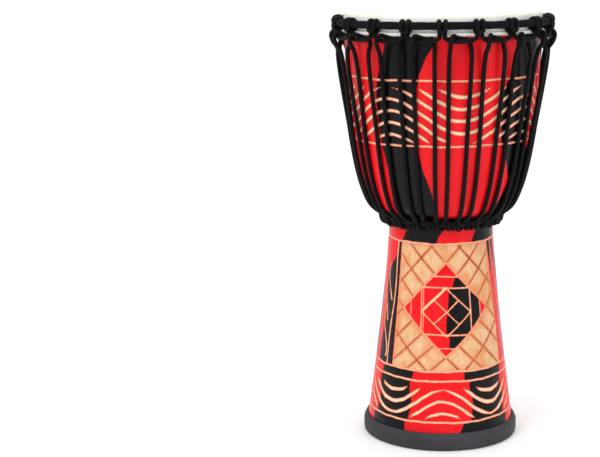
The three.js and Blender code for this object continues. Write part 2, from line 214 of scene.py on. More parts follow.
def grid_uv(piece, name, rows, columns, row_places):
    """A UV map: u goes once round the columns, and v is given by row, with one more where the rows close."""
    i, j = grid_corners(rows, columns, len(row_places) > rows)
    u = np.stack([j, j + 1, j + 1, j], 1) / columns
    v = np.stack([row_places[i], row_places[i], row_places[i + 1], row_places[i + 1]], 1)
    layer = piece.data.uv_layers.new(name=name)
    layer.data.foreach_set("uv", np.stack([u.ravel(), v.ravel()], 1).astype(np.float32).ravel())


def add_field(piece, name, values):
    piece.data.attributes.new(name, "FLOAT", "POINT").data.foreach_set(
        "value", np.asarray(values, np.float32).ravel())


def edit_mesh(piece, change):
    work = bmesh.new()
    work.from_mesh(piece.data)
    change(work)
    work.to_mesh(piece.data)
    work.free()
    piece.data.shade_smooth()


def weld(piece):
    """Joins the points that a turned outline folds together on its axis."""
    edit_mesh(piece, lambda work: bmesh.ops.remove_doubles(work, verts=work.verts, dist=1e-6))


def cap_ends(piece):
    edit_mesh(piece, lambda work: bmesh.ops.holes_fill(work, edges=[e for e in work.edges if e.is_boundary]))


def turned_points(outline, azimuths):
    """Points of an outline of (radius, height) turned to each azimuth: one row for each outline point."""
    radius, height = (np.asarray(outline)[:, k][:, None] for k in (0, 1))
    angle = np.radians(azimuths)[None, :]
    return np.stack([radius * np.sin(angle), -radius * np.cos(angle), height + 0 * angle], -1)


def azimuths_of(columns):
    return np.arange(columns) * 360.0 / columns


def inwards(outline):
    """Unit directions from each point of an outline into the wall behind it."""
    along = np.gradient(outline, axis=0)
    along /= np.linalg.norm(along, axis=1)[:, None]
    return np.stack([-along[:, 1], along[:, 0]], 1)


def smooth_line(points, step, closed=False):
    """A centripetal Catmull-Rom curve through points, cut into equal steps."""
    p = np.asarray(points, float)
    p = np.vstack([p[-1], p, p[0], p[1]]) if closed else np.vstack([2 * p[0] - p[1], p, 2 * p[-1] - p[-2]])
    fine = []
    for a, b, c, d in zip(p[:-3], p[1:-2], p[2:-1], p[3:]):
        t0, t1, t2, t3 = np.cumsum([0.0] + [max(np.linalg.norm(y - x) ** 0.5, 1e-6)
                                            for x, y in ((a, b), (b, c), (c, d))])
        t = np.linspace(t1, t2, 12, endpoint=False)[:, None]
        ab = (t1 - t) / (t1 - t0) * a + (t - t0) / (t1 - t0) * b
        bc = (t2 - t) / (t2 - t1) * b + (t - t1) / (t2 - t1) * c
        cd = (t3 - t) / (t3 - t2) * c + (t - t2) / (t3 - t2) * d
        abc = (t2 - t) / (t2 - t0) * ab + (t - t0) / (t2 - t0) * bc
        bcd = (t3 - t) / (t3 - t1) * bc + (t - t1) / (t3 - t1) * cd
        fine.append((t2 - t) / (t2 - t1) * abc + (t - t1) / (t2 - t1) * bcd)
    fine = np.vstack(fine + [p[1:2] if closed else p[-2:-1]])
    along = np.concatenate([[0.0], np.cumsum(np.linalg.norm(np.diff(fine, axis=0), axis=1))])
    count = max(int(round(along[-1] / step)), 3)
    stations = np.linspace(0.0, along[-1], count + 1)
    if closed:
        stations = stations[:-1]
    return np.stack([np.interp(stations, along, fine[:, k]) for k in range(p.shape[1])], 1)


def frames_along(line, closed):
    """Two directions across the line at each point, carried along it without twist."""
    ahead = np.roll(line, -1, 0) - np.roll(line, 1, 0)
    if not closed:
        ahead[0], ahead[-1] = line[1] - line[0], line[-1] - line[-2]
    ahead /= np.linalg.norm(ahead, axis=1)[:, None]
    side = np.zeros_like(line)
    first = np.cross([0.3, 0.2, 1.0], ahead[0])
    side[0] = first / np.linalg.norm(first)
    for k in range(1, len(line)):
        flat = side[k - 1] - np.dot(side[k - 1], ahead[k]) * ahead[k]
        side[k] = flat / np.linalg.norm(flat)
    if closed:
        last = side[-1] - np.dot(side[-1], ahead[0]) * ahead[0]
        twist = math.atan2(np.dot(np.cross(last, side[0]), ahead[0]), np.dot(last, side[0]))
        turn = (twist * np.arange(len(line)) / len(line))[:, None]
        side = np.cos(turn) * side + np.sin(turn) * np.cross(ahead, side)
    return side, np.cross(ahead, side)


def rope(name, line, closed, radius=ROPE_RADIUS):
    """A braided rope along a line, with the UV map 'braid': turns around it, and length along it in radii."""
    side, up = frames_along(line, closed)
    angle = 2 * math.pi * np.arange(ROPE_SIDES) / ROPE_SIDES
    ring = np.cos(angle)[None, :, None] * side[:, None, :] + np.sin(angle)[None, :, None] * up[:, None, :]
    points = line[:, None, :] + radius * ring
    steps = np.linalg.norm(np.diff(np.vstack([line, line[:1]]), axis=0), axis=1)
    along = np.concatenate([[0.0], np.cumsum(steps)]) / radius
    if not closed:
        along = along[:-1]
        for k, share in enumerate(END_TAPER):
            points[k] = line[k] + share * radius * ring[k]
            points[-1 - k] = line[-1 - k] + share * radius * ring[-1 - k]
    piece = piece_from(name, points, grid_faces(len(line), ROPE_SIDES, closed))
    grid_uv(piece, "braid", len(line), ROPE_SIDES, along)
    if not closed:
        cap_ends(piece)
    return piece


def polar(azimuth, shift, radius, height):
    """A point by azimuth, with a shift along the rim in millimetres."""
    angle = math.radians(azimuth) + shift / radius
    return [radius * math.sin(angle), -radius * math.cos(angle), height]


# --- materials ---

def srgb(red, green, blue):
    """A colour given as 0 to 255 on a screen, as the linear colour that shaders use."""
    linear = [((c / 255 + 0.055) / 1.055) ** 2.4 if c > 10 else c / 255 / 12.92 for c in (red, green, blue)]
    return (*linear, 1.0)


class Graph:
    """A material's node tree around one Principled BSDF."""

    def __init__(self, name):
        self.material = bpy.data.materials.new(name)
        self.material.use_nodes = True
        self.tree = self.material.node_tree
        self.bsdf = self.tree.nodes["Principled BSDF"].inputs

    def node(self, kind, **settings):
        made = self.tree.nodes.new(kind)
        for key, value in settings.items():
            setattr(made, key, value)
        return made

    def feed(self, socket, value):
        if isinstance(value, bpy.types.NodeSocket):
            self.tree.links.new(value, socket)
        else:
            socket.default_value = value

    def field(self, name):
        return self.node("ShaderNodeAttribute", attribute_name=name).outputs["Fac"]

    def result(self, kind, values, output=0, **settings):
        """One output of a new node whose inputs get numbers, colours or links."""
        made = self.node(kind, **settings)
        for key, value in values.items():
            self.feed(made.inputs[key], value)
        return made.outputs[output]

    def noise(self, scale, detail=3.0, rough=0.55, stretch=(1.0, 1.0, 1.0), distortion=0.0):
        """Noise over the piece's own coordinates, in metres, scaled along each axis."""
        own = self.node("ShaderNodeTexCoord").outputs["Object"]
        place = self.result("ShaderNodeMapping", {"Vector": own, "Scale": stretch})
        return self.result("ShaderNodeTexNoise", {
            "Vector": place, "Scale": scale, "Detail": detail, "Roughness": rough, "Distortion": distortion,
        }, "Fac")

    def calc(self, operation, a, b=0.0):
        return self.result("ShaderNodeMath", {0: a, 1: b}, operation=operation)

    def spread(self, value, low, high, to_low=0.0, to_high=1.0, smooth=False):
        """Maps low..high to to_low..to_high, held at both ends."""
        values = dict(enumerate((value, low, high, to_low, to_high)))
        kind = "SMOOTHSTEP" if smooth else "LINEAR"
        return self.result("ShaderNodeMapRange", values, "Result", interpolation_type=kind)

    def mix(self, factor, a, b):
        return self.result("ShaderNodeMix", {0: factor, 6: a, 7: b}, 2, data_type="RGBA")

    def blend(self, factor, a, b):
        """Mixes two numbers."""
        return self.result("ShaderNodeMix", {0: factor, 2: a, 3: b}, data_type="FLOAT")

    def fix(self, name, value):
        """Gives the shader one value that is the same everywhere."""
        self.bsdf[name].default_value = value

    def colour(self, value):
        self.feed(self.bsdf["Base Color"], value)

    def roughness(self, value):
        self.feed(self.bsdf["Roughness"], value)

    def bump(self, height, strength, distance):
        """Adds a bump over the ones made before. The distance is in metres."""
        made = self.node("ShaderNodeBump")
        made.inputs["Strength"].default_value = strength
        made.inputs["Distance"].default_value = distance
        self.feed(made.inputs["Height"], height)
        if self.bsdf["Normal"].is_linked:
            self.feed(made.inputs["Normal"], self.bsdf["Normal"].links[0].from_socket)
        self.feed(self.bsdf["Normal"], made.outputs["Normal"])


# --- the shell's shape ---

def outside_outline():
    """The shell's outside from foot to rim, as (radius, height)."""
    heights = np.linspace(FOOT_BASE, STEM_TOP, 160)
    share = (STEM_TOP - heights) / (STEM_TOP - FOOT_BASE)
    stem = np.stack([NECK_RADIUS + (FOOT_RADIUS - NECK_RADIUS) * share ** FLARE_POWER, heights], 1)
    seat = NECK_RADIUS - RING_SEAT
    waist = np.array([
        [seat, STEM_TOP + RING_SEAT],
        [seat, LOWER_HEIGHT + ROPE_RADIUS],
        [NECK_RADIUS + 1.8, WAIST_HEIGHT - 3.0],
        [NECK_RADIUS + 6.5, WAIST_HEIGHT - 0.8],
    ])
    shares = np.array(BOWL_SHAPE)
    bowl = np.stack([NECK_RADIUS + shares[:, 0] * (RIM_RADIUS - NECK_RADIUS),
                     WAIST_HEIGHT + shares[:, 1] * (RIM_HEIGHT - WAIST_HEIGHT)], 1)
    upper = smooth_line(np.vstack([stem[-1], waist, bowl]), 1.0)
    return np.vstack([stem[:-1], upper])


OUTSIDE = outside_outline()
CARVED_ZONES = [(18.0, 309.0), (417.0, 519.0)]
BOWL_SIDE = 330.0         # where the bowl's side rises from its underside


def radius_at(height):
    return np.interp(height, OUTSIDE[:, 1], OUTSIDE[:, 0])


def stations_of(outline, fine, coarse):
    """The outline cut finely in the carved zones and coarsely elsewhere."""
    middle = (outline[1:, 1] + outline[:-1, 1]) / 2
    carved = np.zeros(len(middle), bool)
    for low, high in CARVED_ZONES:
        carved |= (middle > low) & (middle < high)
    length = np.linalg.norm(np.diff(outline, axis=0), axis=1)
    steps = np.concatenate([[0.0], np.cumsum(length / np.where(carved, fine, coarse))])
    wanted = np.linspace(0.0, steps[-1], int(round(steps[-1])) + 1)
    return np.stack([np.interp(wanted, steps, outline[:, k]) for k in (0, 1)], 1)


def inside_outline():
    """The edge and the inside of the shell from rim to foot, as (radius, height)."""
    wall = (OUTSIDE + BOWL_WALL * inwards(OUTSIDE))[OUTSIDE[:, 1] > BOWL_SIDE]
    heights = [561.0, 520.0, 473.0, 430.0, 400.0, 367.0, 345.0]
    bowl = [[np.interp(h, wall[:, 1], wall[:, 0]), h] for h in heights]
    rim = OUTSIDE[-1]
    edge = [
        [rim[0] - 0.05 * EDGE_ROUNDING, RIM_HEIGHT - 0.7 * EDGE_ROUNDING],
        [rim[0] - 0.35 * EDGE_ROUNDING, RIM_HEIGHT - 0.2 * EDGE_ROUNDING],
        [rim[0] - EDGE_ROUNDING, RIM_HEIGHT],
        [rim[0] - 1.6 * EDGE_ROUNDING, RIM_HEIGHT - 0.3 * EDGE_ROUNDING],
        [rim[0] - 2.3 * EDGE_ROUNDING, RIM_HEIGHT - 1.2 * EDGE_ROUNDING],
    ]
    bore = NECK_RADIUS - NECK_WALL
    stem = [[bore, WAIST_HEIGHT], [bore, 250.0], [bore + 13.0, 126.0], [FOOT_RADIUS - FOOT_WALL, FOOT_BASE]]
    return smooth_line(edge, 1.5), smooth_line(bowl + stem, 6.0)


# --- the carving and the paint ---
# Each field is a distance in millimetres, so that its edge stays sharp whatever the mesh.

FAR = 9.0                            # a field's value well away from what it draws
GROOVE_DEPTH = 1.7
SCRATCH_DEPTH = 0.7
PANEL_BOTTOM = 108.6
PANEL_TOP = 284.1
RING_LINES = [(511.7, 1.5), (424.7, 1.5), (PANEL_TOP, 1.4), (PANEL_BOTTOM, 1.5), (95.1, 1.5), (38.4, 1.5)]
WAVES_AROUND = 4
# Waves: "swing" is half their rise, "crest" an azimuth, and "halves" a groove's least and most half-width
BOWL_WAVE = {"middle": 464.5, "swing": 22.5, "crest": -32.0, "spacing": 16.0, "halves": (2.1, 2.5),
             "between": (424.7, 511.7)}
FOOT_WAVE = {"middle": 64.0, "swing": 19.0, "crest": 2.0, "spacing": 16.0, "halves": (2.0, 2.7),
             "between": (38.4, 95.1)}

PANEL_CENTRES = [6.5, 186.5]
PANEL_HEIGHT = 193.5                 # height of the middle of the diamond
PANEL_SCALE = math.radians(84.0)     # millimetres for one degree of azimuth on the panel
PANEL_LEFT = -52.8                   # degrees from the middle of the diamond to the panel's left edge
PANEL_RIGHT = [(PANEL_BOTTOM, 58.9), (180.0, 58.5), (243.0, 54.5), (PANEL_TOP, 51.0)]
DIAMOND = 65.0                       # from the diamond's middle to its corners
DIAMOND_LEAN = 2.4                   # how far its top and bottom corners lie to the left
SQUARE = (36.0, -34.5, 30.5)         # half-width, bottom and top
INNER_MIDDLE = -3.0                  # height of the small diamond's middle
LATTICE = DIAMOND / 2

# Black patches on the bowl: (height, left azimuth, right azimuth), bottom to top
BOWL_PATCHES = [
    [(306, -41, -5), (330, -39, -5), (357, -37.5, -6), (391, -37, -11.7), (424, -39.5, -15.2),
     (457, -40.5, -16.4), (498, -41, -14.6), (518, -39, -13), (543, -35.8, -8.8), (556, -34, -5),
     (597, -31, -3)],
    [(306, 43, 84), (340, 47, 85), (372, 51.6, 83), (399, 46.6, 77), (421, 39.9, 67), (449, 37.6, 64.5),
     (475, 36.6, 66), (498, 38, 68), (515, 42, 70.5), (531, 43, 74), (550, 45.7, 78), (597, 47, 80)],
]
# Black patches on the bands below the bowl: (bottom, top, patches), a patch as (left, right, slant)
BAND_PATCHES = [
    (PANEL_TOP, 318.0, [(-39.5, 1.0, 0.3), (40.5, 80.0, 0.3)]),
    (95.1, PANEL_BOTTOM, [(-59.0, -24.0, 0.05), (21.0, 63.5, -0.2)]),
    (38.4, 95.1, [(-59.5, -25.0, 0.0), (26.8, 63.0, 0.0)]),
    (0.0, 38.4, [(-66.0, -29.0, 0.1), (14.0, 62.0, 0.4)]),
]


def to_side(azimuth, centre):
    """Degrees from a centre, between -180 and 180."""
    return (azimuth - centre + 180.0) % 360.0 - 180.0


def within(value, low, high):
    """How far a value is inside a range, negative outside."""
    return np.minimum(value - low, high - value)


def wobble(azimuth, height, size, seed):
    """A smooth unevenness, as a hand leaves it, closed around the drum."""
    turn = np.radians(azimuth)
    waves = ((0.5, 7, 23), (0.3, 17, -11), (0.2, 31, 7))
    return size * sum(share * np.sin(times * turn + height / rise + k * seed)
                      for k, (share, times, rise) in enumerate(waves, 1))


def ring_lines(azimuth, height):
    return np.minimum.reduce([np.abs(height - level + wobble(azimuth, 0 * height, 0.7, k)) - half
                              for k, (level, half) in enumerate(RING_LINES)])


def wave_lines(azimuth, height, radius, wave):
    """Nested wavy grooves between two ring lines, thinning out towards both."""
    turn = WAVES_AROUND * np.radians(azimuth - wave["crest"])
    line = wave["middle"] + wave["swing"] * np.cos(turn) + wobble(azimuth, height, 1.1, 4)
    slope = wave["swing"] * WAVES_AROUND * np.sin(turn) / radius
    off = (height - line + wave["spacing"] / 2) % wave["spacing"] - wave["spacing"] / 2
    low, high = wave["between"]
    room = np.clip((height - low - 3.0) / 6.0, 0, 1) * np.clip((high - height - 9.0) / 6.0, 0, 1)
    least, most = wave["halves"]
    half = (least + (most - least) * (1 - np.cos(turn)) / 2) * room
    distance = np.abs(off) / np.sqrt(1 + slope ** 2)
    return np.where((within(height, low, high) > 0) & (room > 0), distance - half, FAR)


def segment(across, along, low, high, half):
    """A straight groove: across is the distance from its line, and along runs from low to high."""
    return np.maximum(np.abs(across) - half, np.maximum(low - along, along - high))


def panel_place(azimuth, height, centre):
    """Millimetres right of and above the middle of a panel's diamond."""
    right = to_side(azimuth, centre) * PANEL_SCALE
    up = height - PANEL_HEIGHT
    lean = DIAMOND_LEAN * np.minimum(np.abs(up) / DIAMOND, 1)
    return right + lean + 0.7 * np.sin(up / 19.0 + 1.0), up + 0.7 * np.sin(right / 17.0)


def panel_level(height):
    """How far a height is between the panels' bottom and top lines."""
    return within(height, PANEL_BOTTOM, PANEL_TOP)


def panel_room(azimuth, height, centre):
    """How far inside a panel's edges a point is."""
    heights, rights = zip(*PANEL_RIGHT)
    angle = to_side(azimuth, centre)
    sides = np.minimum(angle - PANEL_LEFT, np.interp(height, heights, rights) - angle) * PANEL_SCALE
    return np.minimum(sides, panel_level(height))


def diamond_lines(right, up):
    """The carved lines in a panel's diamond."""
    diagonal = math.sqrt(2)
    edge = np.abs(np.abs(right) + np.abs(up) - DIAMOND) / diagonal - 1.15
    half, bottom, top = SQUARE
    rise = up - INNER_MIDDLE
    room = top - INNER_MIDDLE
    lines = [
        edge,
        segment(right - half, up, bottom, top, 1.1),
        segment(right + half, up, bottom, top, 1.0),
        segment(right + half - 3.0, up, bottom, top, 0.8),
        segment(up - top, right, -half, half, 1.1),
        segment(up - bottom, right, -half + 4, half - 4, 1.2),
        segment(up - top - 15.5, right, -21.0, 21.0, 1.1),
        segment(up - bottom + 18.5, right, -12.0, 12.0, 1.0),
        segment(right - 52.5, up, -13.5, 13.5, 1.0),
        segment(right + 52.5, up, -13.5, 13.5, 0.8),
    ]
    ring = (np.abs(right) / half + np.abs(rise) / room - 1) * half * room / math.hypot(half, room)
    wide = np.where((right < 0) & (rise > 0), 1.9, 1.1)
    lines.append(np.abs(ring) - wide)
    fall = right / half + rise / room
    climb = rise / room - right / half
    scale = half / diagonal
    lines.append(np.maximum(np.abs(fall) * scale - 1.05, (np.abs(climb) - 1) * scale))
    lines.append(np.maximum(np.abs(climb) * scale - 1.05, (np.abs(fall) - 1) * scale))
    inside = (np.abs(right) + np.abs(up) - DIAMOND) / diagonal
    drawn = np.maximum(np.minimum.reduce(lines[1:]), inside)
    return np.minimum(edge, drawn)


def lattice_lines(right, up):
    """The thin dark lines of the lattice round the diamond."""
    diagonal = math.sqrt(2)
    fall, climb = (right + up) / diagonal, (up - right) / diagonal
    edge, spacing = DIAMOND / diagonal, LATTICE / diagonal
    found = np.full(right.shape, FAR)
    for one, other in ((fall, climb), (climb, fall)):
        for level in (-edge, edge, edge + 31.0, -edge - 31.0):
            found = np.minimum(found, np.abs(one - level) - 1.0)
        for level in (-spacing, 0.0, spacing):
            found = np.minimum(found, np.maximum(np.abs(one - level) - 1.0, edge - np.abs(other)))
    outside = (DIAMOND + 2.0 - np.abs(right) - np.abs(up)) / diagonal
    return np.maximum(found, outside)


def diamond_black(right, up):
    """Where the right half of the diamond is black."""
    half, bottom, top = SQUARE
    inside = (DIAMOND - np.abs(right) - np.abs(up)) / math.sqrt(2)
    meander = 1.5 + 2.0 * np.sin(up / 16.0)
    square = np.minimum(within(right, meander, half), within(up, bottom, top))
    above = np.minimum(right - 9.0 - 0.3 * (up - top), within(up, top, top + 15.5))
    below = np.minimum(right - 4.0, within(up, bottom - 18.5, bottom))
    beside = within(right, half, 52.5)
    return np.minimum(np.maximum.reduce([square, above, below, beside]), inside)


def side_fields(azimuth, height, centre):
    """The strips of wavy grooves between this panel and the next one to its left."""
    left = -(to_side(azimuth, centre) - PANEL_LEFT) * PANEL_SCALE
    first = 7.0 + 0.035 * (PANEL_TOP - height) + 1.4 * np.sin(height / 19)
    second = 22.0 + 7.5 * np.sin((height - 214) / 15)
    third = 31.0 + 8.0 * np.sin((height - 196) / 17)
    fourth = 25.0 + 8.0 * np.sin((height - 150) / 15)
    room = panel_level(height)
    lines = [
        np.abs(left - first) - 1.4,
        segment(left - second, height, 198.0, 250.0, 1.6),
        segment(left - third, height, 168.0, 228.0, 1.5),
        segment(left - fourth, height, 118.0, 188.0, 1.6),
    ]
    cut = np.maximum(np.minimum.reduce(lines), -room)
    strip = within(left, 1.2, first)
    outer = 31.0 + 2.5 * np.sin(height / 17)
    field = np.minimum(within(left, first, outer), 264.0 - height - 1.1 * (left - first))
    black = np.minimum(np.maximum(strip, field), room)
    nearby = (left > -1.5) & (left < 50.0)
    return np.where(nearby, cut, FAR), np.where(nearby, black, -FAR)


def far_side_fields(azimuth, height, centre):
    """The strips beside a panel's right edge."""
    heights, rights = zip(*PANEL_RIGHT)
    right = (to_side(azimuth, centre) - np.interp(height, heights, rights)) * PANEL_SCALE
    room = panel_level(height)
    lines = [
        segment(right - 11.0 + 0.03 * (284 - height), height, 232.0, 284.0, 1.2),
        segment(right - 34.0 - 3 * np.sin(height / 24), height, 120.0, 250.0, 1.3),
    ]
    cut = np.maximum(np.minimum.reduce(lines), -room)
    first = within(right, 1.0 + 0.16 * np.maximum(268.0 - height, 0), 9.5)
    second = within(right, 12.8 + 0.2 * np.maximum(276.0 - height, 0), 22.0)
    first, second = np.minimum(first, height - 222.0), np.minimum(second, height - 238.0)
    thin = np.minimum(within(right, 9.5, 11.0), 226.0 - height)
    field = np.minimum(within(right, 27.0, 53.0), 262.0 - height)
    black = np.minimum(np.maximum.reduce([first, second, thin, field]), room)
    nearby = (right > -1.5) & (right < 55.0)
    return np.where(nearby, cut, FAR), np.where(nearby, black, -FAR)


def patches_black(azimuth, height, radius):
    """The black patches on the bowl and the bands, painted twice round the drum."""
    found = []
    for turned_by in (0.0, 180.0):
        for patch in BOWL_PATCHES:
            heights, lefts, rights = (np.array(column, float) for column in zip(*patch))
            middle = (lefts.mean() + rights.mean()) / 2
            angle = to_side(azimuth, turned_by + middle) + middle
            sides = within(angle, np.interp(height, heights, lefts), np.interp(height, heights, rights))
            found.append(np.minimum(np.radians(sides) * radius, height - WAIST_HEIGHT + 6))
        for bottom, top, patches in BAND_PATCHES:
            for left, right, slant in patches:
                middle = (left + right) / 2
                lean = slant * (height - (bottom + top) / 2) + 1.2 * np.sin(height / 8)
                angle = to_side(azimuth, turned_by + middle) + middle - lean
                sides = np.radians(within(angle, left, right)) * radius
                found.append(np.minimum(sides, within(height, bottom, top)))
    return np.maximum.reduce(found)


def shell_fields(azimuth, height, radius):
    """The fields of the whole outside: cut, scratch, bare and black."""
    cut = ring_lines(azimuth, height)
    for wave in (BOWL_WAVE, FOOT_WAVE):
        cut = np.minimum(cut, wave_lines(azimuth, height, radius, wave))
    scratch = np.full(azimuth.shape, FAR)
    bare = np.full(azimuth.shape, -FAR)
    black = patches_black(azimuth, height, radius)
    for centre in PANEL_CENTRES:
        right, up = panel_place(azimuth, height, centre)
        room = panel_room(azimuth, height, centre)
        outside = (np.abs(right) + np.abs(up) - DIAMOND) / math.sqrt(2)
        bare = np.maximum(bare, np.minimum(room, outside))
        cut = np.minimum(cut, np.maximum(diamond_lines(right, up), -room))
        cut = np.minimum(cut, np.maximum(np.abs(room) - 0.9, -panel_level(height)))
        scratch = np.minimum(scratch, np.maximum(lattice_lines(right, up), -room + 1.5))
        black = np.maximum(black, np.minimum(diamond_black(right, up), room))
        for fields in (side_fields, far_side_fields):
            side_cut, side_black = fields(azimuth, height, centre)
            cut, black = np.minimum(cut, side_cut), np.maximum(black, side_black)
    return cut, scratch, bare, black


def make_shell():
    """The carved shell: one closed skin of quads, cut in where its grooves are."""
    columns = 600
    outside = stations_of(OUTSIDE, 1.3, 5.0)
    edge, inside = inside_outline()
    outline = np.vstack([outside, edge, inside])
    rows, outer = len(outline), len(outside)
    azimuths = azimuths_of(columns)
    azimuth, height = np.meshgrid(azimuths, outside[:, 1])
    radius = np.repeat(outside[:, :1], columns, 1)
    cut, scratch, bare, black = shell_fields(azimuth, height, radius)
    depth = np.clip(0.75 * (0.35 - cut), 0, GROOVE_DEPTH)
    depth = np.maximum(depth, np.clip(0.8 * (0.25 - scratch), 0, SCRATCH_DEPTH))
    depth = depth * np.clip((height - FOOT_BASE - 1) / 4, 0, 1) + wobble(azimuth, height, 0.16, 9)
    points = turned_points(outline, azimuths)
    points[:outer] += depth[..., None] * turned_points(inwards(outside), azimuths)
    rest = rows - outer
    gouges = np.radians(azimuths)[None, :] * 23 + outline[outer + len(edge):, 1][:, None] / 9
    wall = points[outer + len(edge):]
    wall[..., :2] *= 1 + 0.004 * np.abs(np.sin(gouges))[..., None]
    piece = piece_from("carved_shell", points, grid_faces(rows, columns))
    for name, values, other in (("cut", cut, FAR), ("scratch", scratch, FAR), ("bare", bare, -FAR),
                                ("black", black, -FAR), ("inside", 0 * cut, 1.0)):
        add_field(piece, name, np.vstack([values, np.full((rest, columns), other)]))
    length = np.linalg.norm(np.diff(np.vstack([outline, outline[:1]]), axis=0), axis=1)
    places = np.concatenate([[0.0], np.cumsum(length)]) / length.sum()
    grid_uv(piece, "OFBake", rows, columns, places)
    piece.data.materials.append(lacquered_wood())
    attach(piece, "drum_body")
    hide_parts("shell")


def lacquered_wood():
    g = Graph("carved_and_painted_wood")
    g.fix("Specular IOR Level", 0.12)
    grain = g.noise(60.0, 6.0, 0.6, (9.0, 9.0, 0.5), 0.6)
    fine = g.noise(420.0, 3.0, 0.6)
    cloud = g.noise(11.0, 2.0)
    ragged = g.calc("MULTIPLY", g.calc("SUBTRACT", g.noise(190.0, 5.0, 0.65), 0.5), 2.6)
    is_black = g.spread(g.calc("ADD", g.field("black"), ragged), -0.18, 0.18)
    is_bare = g.spread(g.calc("ADD", g.field("bare"), ragged), -0.18, 0.18)
    cut = g.calc("ADD", g.field("cut"), g.calc("MULTIPLY", ragged, 0.65))
    is_cut = g.spread(cut, 0.14, -0.14)
    scratch = g.calc("ADD", g.field("scratch"), g.calc("MULTIPLY", ragged, 0.6))
    is_scratch = g.spread(scratch, 0.32, -0.2)

    red = g.mix(g.spread(cloud, 0.35, 0.7), srgb(226, 14, 24), srgb(240, 26, 34))
    red = g.mix(g.spread(grain, 0.52, 0.75, 0.0, 0.45), red, srgb(184, 8, 18))
    black = g.mix(g.spread(grain, 0.45, 0.7), srgb(6, 6, 9), srgb(19, 19, 23))
    black = g.mix(g.spread(fine, 0.62, 0.8, 0.0, 0.5), black, srgb(46, 44, 48))
    painted = g.mix(is_black, red, black)

    mottle = g.noise(38.0, 4.0, 0.6)
    wood = g.mix(g.spread(grain, 0.3, 0.72), srgb(235, 199, 157), srgb(216, 164, 118))
    wood = g.mix(g.spread(mottle, 0.48, 0.66, 0.0, 0.8), wood, srgb(222, 142, 88))
    wood = g.mix(g.spread(fine, 0.55, 0.8, 0.0, 0.5), wood, srgb(182, 122, 82))
    faded = g.spread(g.field("bare"), 15.0, 0.5, smooth=True)
    near_edge = g.calc("MULTIPLY", faded, g.spread(cloud, 0.38, 0.62))
    near_line = g.spread(g.field("scratch"), 3.6, 0.0, 0.0, 0.65)
    stain = g.calc("MAXIMUM", g.calc("MULTIPLY", near_edge, 0.85), near_line)
    wood = g.mix(stain, wood, srgb(222, 122, 70))
    worn_line = g.calc("MULTIPLY", is_scratch, g.spread(mottle, 0.34, 0.52, 1.0, 0.6))
    wood = g.mix(worn_line, wood, srgb(170, 58, 36))
    surface = g.mix(is_bare, painted, wood)

    groove = g.mix(g.spread(grain, 0.35, 0.7), srgb(255, 233, 207), srgb(244, 188, 146))
    groove = g.mix(g.spread(cut, -1.5, -0.3, 0.0, 0.9), groove, srgb(234, 122, 78))
    surface = g.mix(is_cut, surface, groove)
    raw = g.mix(g.spread(grain, 0.3, 0.7), srgb(168, 124, 84), srgb(126, 86, 54))
    g.colour(g.mix(g.spread(g.field("inside"), 0.4, 0.6), surface, raw))

    matt = g.calc("MAXIMUM", g.calc("MAXIMUM", is_cut, is_bare), g.field("inside"))
    g.roughness(g.blend(matt, g.spread(cloud, 0.3, 0.7, 0.24, 0.36), 0.56))
    g.fix("Coat Weight", 0.06)
    g.fix("Coat Roughness", 0.2)
    g.bump(grain, 0.22, 0.0004)
    g.bump(fine, 0.15, 0.0002)
    return g.material


# --- foot, head and rings ---

def make_foot_ring():
    """The rubber ring stretched over the foot, with a moulded lip and soft edges."""
    height, wall, rounding, lip = 24.3, 3.6, 4.5, 15.0
    outer = FOOT_RADIUS + wall
    top = radius_at(height)
    corners = [
        (FOOT_RADIUS - lip, 0.0), (outer - 1.2 * rounding, 0.0), (outer - 0.55 * rounding, 0.35),
        (outer - 0.18 * rounding, 1.6), (outer - 0.02 * rounding, 0.9 * rounding), (outer, 1.8 * rounding),
        (outer - 0.05, 0.7 * height), (top + wall, height - 1.4), (top + wall - 0.7, height - 0.35),
        (top + 0.6 * wall, height), (top + 0.35, height - 0.2), (radius_at(12.0) + 0.3, 12.0),
        (FOOT_RADIUS + 0.3, 4.2), (FOOT_RADIUS - lip, 4.0),
    ]
    outline = np.maximum(smooth_line(corners, 0.9), 0.0)
    columns = 420
    azimuths = azimuths_of(columns)
    points = turned_points(outline, azimuths)
    sway = 1 + 0.0016 * wobble(azimuths, 0 * azimuths, 1.0, 3)[None, :]
    points[..., :2] *= sway[..., None]
    piece = piece_from("moulded_foot_ring", points, grid_faces(len(outline), columns))
    piece.data.materials.append(rubber())
    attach(piece, "drum_body")
    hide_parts("rubber_foot_ring")


def rubber():
    g = Graph("worn_rubber")
    fine, cloud = g.noise(900.0, 3.0), g.noise(24.0, 4.0)
    scuffs = g.noise(130.0, 4.0, 0.6, (1.0, 1.0, 5.0))
    tone = g.mix(g.spread(cloud, 0.35, 0.7), srgb(38, 38, 43), srgb(54, 53, 59))
    g.colour(g.mix(g.spread(scuffs, 0.6, 0.78, 0.0, 0.5), tone, srgb(88, 86, 92)))
    g.roughness(g.spread(scuffs, 0.3, 0.7, 0.62, 0.82))
    g.bump(fine, 0.35, 0.0003)
    g.bump(scuffs, 0.2, 0.0004)
    return g.material


